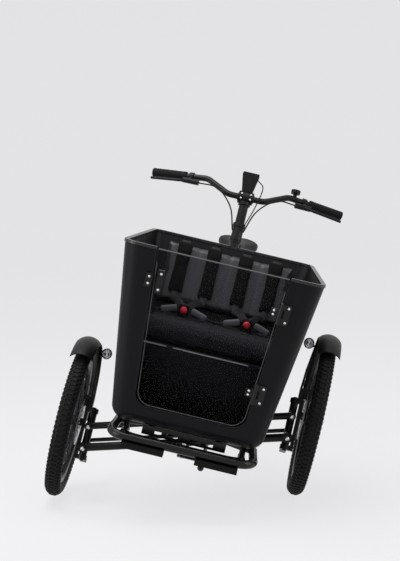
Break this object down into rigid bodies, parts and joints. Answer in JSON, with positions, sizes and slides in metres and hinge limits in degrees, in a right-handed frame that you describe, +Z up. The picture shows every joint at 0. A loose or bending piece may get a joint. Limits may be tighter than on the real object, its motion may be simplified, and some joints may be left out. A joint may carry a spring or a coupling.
{
  "type": "tilting electric cargo tricycle",
  "caption": "Electric cargo tricycle with a child box between tilting front wheels, clear front door, mid motor and belt drive",
  "frame": {"origin": "under the middle of the outline, on the ground", "axes": "+X to the rider's left, +Y to the rear, +Z up"},
  "size_m": [1.0221, 2.0954, 1.0898],
  "materials": {
    "frame_paint": "satin",
    "box_plastic": "matte",
    "trim_plastic": "satin",
    "seat_cloth": "matte",
    "pad_cloth": "matte",
    "lap_cloth": "matte",
    "button_red": "gloss",
    "black_steel": "satin",
    "alloy_black": "satin",
    "rubber_black": "matte",
    "tyre_black": "matte",
    "disc_steel": "brushed",
    "lamp_shell": "gloss",
    "lamp_red": "gloss",
    "saddle_skin": "satin",
    "smoked_clear": "gloss"
  },
  "bodies": {
    "frame": {"main_frame": "frame_paint", "tilt_frame": "frame_paint", "rear_frame": "frame_paint", "box_shell": "box_plastic", "box_rim": "trim_plastic", "floor_mat": "rubber_black", "bench": "box_plastic", "seat_cushion": "seat_cloth", "seat_back": "seat_cloth", "shoulder_pads": "pad_cloth", "lap_pads": "lap_cloth", "buckles": "trim_plastic", "buckle_buttons": "button_red", "door_fittings": "black_steel", "front_bumper": "black_steel", "bumper_steps": "rubber_black", "motor": "alloy_black", "battery": "trim_plastic", "seat_post": "alloy_black", "saddle": "saddle_skin", "rear_fender": "trim_plastic", "rear_lamp": "lamp_red", "drive_belt": "rubber_black", "rear_calliper": "alloy_black"},
    "bar_unit": {"steering_column": "black_steel", "handlebar": "alloy_black", "grips": "rubber_black", "brake_levers": "alloy_black", "display_holder": "trim_plastic", "bell": "trim_plastic", "hoses": "rubber_black"},
    "link": {"drag_link": "black_steel"},
    "idler": {"steering_idler": "black_steel"},
    "low_beam": {"lower_beam": "black_steel"},
    "high_beam": {"upper_beam": "black_steel"},
    "shackle": {"rod_shackle": "black_steel"},
    "rod": {"track_rod": "black_steel"},
    "post_left": {"upright_left": "black_steel"},
    "post_right": {"upright_right": "black_steel"},
    "carrier_left": {"knuckle_left": "black_steel", "calliper_left": "alloy_black", "fender_left": "trim_plastic", "headlamp_left": "lamp_shell"},
    "carrier_right": {"knuckle_right": "black_steel", "calliper_right": "alloy_black", "fender_right": "trim_plastic", "headlamp_right": "lamp_shell"},
    "front_wheel_left": {"tyre_left": "tyre_black", "wheel_left": "alloy_black", "disc_left": "disc_steel"},
    "front_wheel_right": {"tyre_right": "tyre_black", "wheel_right": "alloy_black", "disc_right": "disc_steel"},
    "back_wheel": {"rear_tyre": "tyre_black", "rear_wheel": "alloy_black", "rear_disc": "disc_steel"},
    "crank_unit": {"crankset": "alloy_black", "pedals": "trim_plastic"},
    "door": {"door_panel": "smoked_clear", "door_hardware": "black_steel"}
  },
  "joints": [
    {"name": "steer", "type": "hinge", "parent": "frame", "child": "bar_unit", "pos_m": [0.08245, -0.26189, 0.68005], "axis": [0.2301, 0.309, 0.9228], "range_deg": [-17, 17]},
    {"name": "link_pivot", "type": "hinge", "parent": "bar_unit", "child": "link", "pos_m": [0.02071, -0.43604, 0.14308], "axis": [0.2301, 0.309, 0.9228], "range_deg": [-17, 17]},
    {"name": "idler_pivot", "type": "hinge", "parent": "frame", "child": "idler", "pos_m": [-0.04141, -0.64864, 0.18326], "axis": [0.2301, 0.309, 0.9228], "range_deg": [-17, 17]},
    {"name": "tilt", "type": "hinge", "parent": "frame", "child": "low_beam", "pos_m": [-0.04141, -0.68864, 0.18326], "axis": [0, 1, 0], "range_deg": [0, 33.3]},
    {"name": "upper_tilt", "type": "hinge", "parent": "frame", "child": "high_beam", "pos_m": [-0.02448, -0.6659, 0.25118], "axis": [0, 1, 0], "range_deg": [0, 33.3]},
    {"name": "shackle_turn", "type": "hinge", "parent": "idler", "child": "shackle", "pos_m": [-0.04401, -0.56802, 0.17283], "axis": [0.2301, 0.309, 0.9228], "range_deg": [-17, 17]},
    {"name": "rod_tilt", "type": "hinge", "parent": "shackle", "child": "rod", "pos_m": [-0.04141, -0.56453, 0.18326], "axis": [0, 1, 0], "range_deg": [0, 33.3]},
    {"name": "post_pivot_left", "type": "hinge", "parent": "low_beam", "child": "post_left", "pos_m": [0.29822, -0.68864, 0.19899], "axis": [0, 1, 0], "range_deg": [-33.3, 0]},
    {"name": "kingpin_left", "type": "hinge", "parent": "post_left", "child": "carrier_left", "pos_m": [0.29822, -0.64864, 0.19899], "axis": [0.2301, 0.309, 0.9228], "range_deg": [-17, 17]},
    {"name": "wheel_turn_left", "type": "hinge", "parent": "carrier_left", "child": "front_wheel_left", "pos_m": [0.37871, -0.64025, 0.25312], "axis": [0.9703, 0, -0.2419], "continuous": true},
    {"name": "post_pivot_right", "type": "hinge", "parent": "low_beam", "child": "post_right", "pos_m": [-0.38105, -0.68864, 0.16754], "axis": [0, 1, 0], "range_deg": [-33.3, 0]},
    {"name": "kingpin_right", "type": "hinge", "parent": "post_right", "child": "carrier_right", "pos_m": [-0.38105, -0.64864, 0.16754], "axis": [0.2301, 0.309, 0.9228], "range_deg": [-17, 17]},
    {"name": "wheel_turn_right", "type": "hinge", "parent": "carrier_right", "child": "front_wheel_right", "pos_m": [-0.4267, -0.64025, 0.25312], "axis": [0.9703, 0, -0.2419], "continuous": true},
    {"name": "rear_wheel_turn", "type": "hinge", "parent": "frame", "child": "back_wheel", "pos_m": [-0.00549, 0.68975, 0.32735], "axis": [0.9703, 0, -0.2419], "continuous": true},
    {"name": "crank_turn", "type": "hinge", "parent": "frame", "child": "crank_unit", "pos_m": [-0.01674, 0.20975, 0.28223], "axis": [0.9703, 0, -0.2419], "continuous": true},
    {"name": "door_swing", "type": "hinge", "parent": "frame", "child": "door", "pos_m": [0.16492, -0.9992, 0.2833], "axis": [0.3027, -0.098, 0.948], "range_deg": [0, 110]}
  ],
  "couplings": [
    {"joint": "link_pivot", "follows": "steer", "ratio": -1},
    {"joint": "idler_pivot", "follows": "steer", "ratio": 1},
    {"joint": "upper_tilt", "follows": "tilt", "ratio": 1},
    {"joint": "shackle_turn", "follows": "steer", "ratio": -1},
    {"joint": "rod_tilt", "follows": "tilt", "ratio": 1},
    {"joint": "post_pivot_left", "follows": "tilt", "ratio": -1},
    {"joint": "kingpin_left", "follows": "steer", "ratio": 1},
    {"joint": "post_pivot_right", "follows": "tilt", "ratio": -1},
    {"joint": "kingpin_right", "follows": "steer", "ratio": 1}
  ]
}
